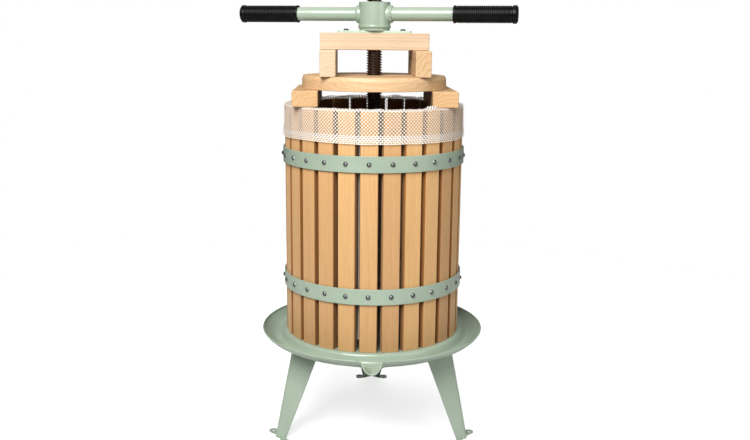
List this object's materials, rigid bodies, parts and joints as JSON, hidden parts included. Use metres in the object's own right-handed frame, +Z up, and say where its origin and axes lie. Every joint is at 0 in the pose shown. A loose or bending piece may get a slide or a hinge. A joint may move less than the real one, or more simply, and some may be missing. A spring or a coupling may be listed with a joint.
{
  "type": "basket fruit press",
  "caption": "Hand-cranked basket fruit press: slatted wooden basket on a three-legged catch pan, with press bag, wooden blocks and a screw crosshead.",
  "frame": {"origin": "on the floor under the spindle axis, the centre of the circle of the foot holes", "axes": "+Z up along the spindle, -Y towards the spout, +X to the right seen from the spout"},
  "size_m": [0.43, 0.3727, 0.716],
  "materials": {
    "green_paint": "gloss",
    "dark_steel": "satin",
    "zinc_steel": "satin",
    "bush_brass": "satin",
    "slat_wood": "oiled",
    "block_wood": "sanded",
    "net_cloth": "woven net",
    "grip_rubber": "ribbed matte"
  },
  "bodies": {
    "base": {"catch_pan": "green_paint", "leg_front_left": "green_paint", "leg_front_right": "green_paint", "leg_rear": "green_paint", "leg_bolts": "zinc_steel", "leg_washers": "zinc_steel", "leg_nuts": "zinc_steel", "spindle": "dark_steel", "seat_nut": "zinc_steel", "base_nut": "zinc_steel", "base_washer": "green_paint", "slat_01": "slat_wood", "slat_02": "slat_wood", "slat_03": "slat_wood", "slat_04": "slat_wood", "slat_05": "slat_wood", "slat_06": "slat_wood", "slat_07": "slat_wood", "slat_08": "slat_wood", "slat_09": "slat_wood", "slat_10": "slat_wood", "slat_11": "slat_wood", "slat_12": "slat_wood", "slat_13": "slat_wood", "slat_14": "slat_wood", "slat_15": "slat_wood", "slat_16": "slat_wood", "slat_17": "slat_wood", "slat_18": "slat_wood", "slat_19": "slat_wood", "slat_20": "slat_wood", "slat_21": "slat_wood", "slat_22": "slat_wood", "slat_23": "slat_wood", "slat_24": "slat_wood", "slat_25": "slat_wood", "slat_26": "slat_wood", "upper_hoop": "green_paint", "lower_hoop": "green_paint", "upper_hoop_screws": "zinc_steel", "lower_hoop_screws": "zinc_steel", "press_bag": "net_cloth"},
    "lower_block_left": {"lower_block_left": "block_wood"},
    "lower_block_right": {"lower_block_right": "block_wood"},
    "press_disc_front": {"press_disc_front": "block_wood"},
    "press_disc_rear": {"press_disc_rear": "block_wood"},
    "upper_block_left": {"upper_block_left": "block_wood"},
    "upper_block_right": {"upper_block_right": "block_wood"},
    "beam": {"cross_beam": "block_wood", "thrust_plate": "green_paint", "plate_screws": "dark_steel"},
    "thrust_washer": {"thrust_washer": "green_paint"},
    "crosshead": {"crosshead_hub": "green_paint", "spindle_bush": "bush_brass", "handle_tube_left": "green_paint", "handle_tube_right": "green_paint", "grip_left": "grip_rubber", "grip_right": "grip_rubber"}
  },
  "joints": [
    {"name": "lower_block_left_shift", "type": "slide", "parent": "base", "child": "lower_block_left", "axis": [0, 1, 0], "range_m": [-0.01, 0.01]},
    {"name": "lower_block_right_shift", "type": "slide", "parent": "base", "child": "lower_block_right", "axis": [0, 1, 0], "range_m": [-0.01, 0.01]},
    {"name": "press_disc_front_draw", "type": "slide", "parent": "base", "child": "press_disc_front", "axis": [0, -1, 0], "range_m": [0, 0.035]},
    {"name": "press_disc_rear_draw", "type": "slide", "parent": "base", "child": "press_disc_rear", "axis": [0, 1, 0], "range_m": [0, 0.035]},
    {"name": "upper_block_left_shift", "type": "slide", "parent": "base", "child": "upper_block_left", "axis": [0, 1, 0], "range_m": [-0.025, 0.025]},
    {"name": "upper_block_right_shift", "type": "slide", "parent": "base", "child": "upper_block_right", "axis": [0, 1, 0], "range_m": [-0.025, 0.025]},
    {"name": "beam_swivel", "type": "hinge", "parent": "base", "child": "beam", "pos_m": [0, 0, 0.62], "axis": [0, 0, 1], "range_deg": [-30, 30]},
    {"name": "crosshead_rise", "type": "slide", "parent": "base", "child": "thrust_washer", "axis": [0, 0, 1], "range_m": [0, 0.036]},
    {"name": "crosshead_turn", "type": "hinge", "parent": "thrust_washer", "child": "crosshead", "pos_m": [0, 0, 0.661], "axis": [0, 0, 1], "range_deg": [0, 3240]}
  ],
  "couplings": [
    {"joint": "crosshead_rise", "follows": "crosshead_turn", "m_per_rad": 0.00063662}
  ]
}
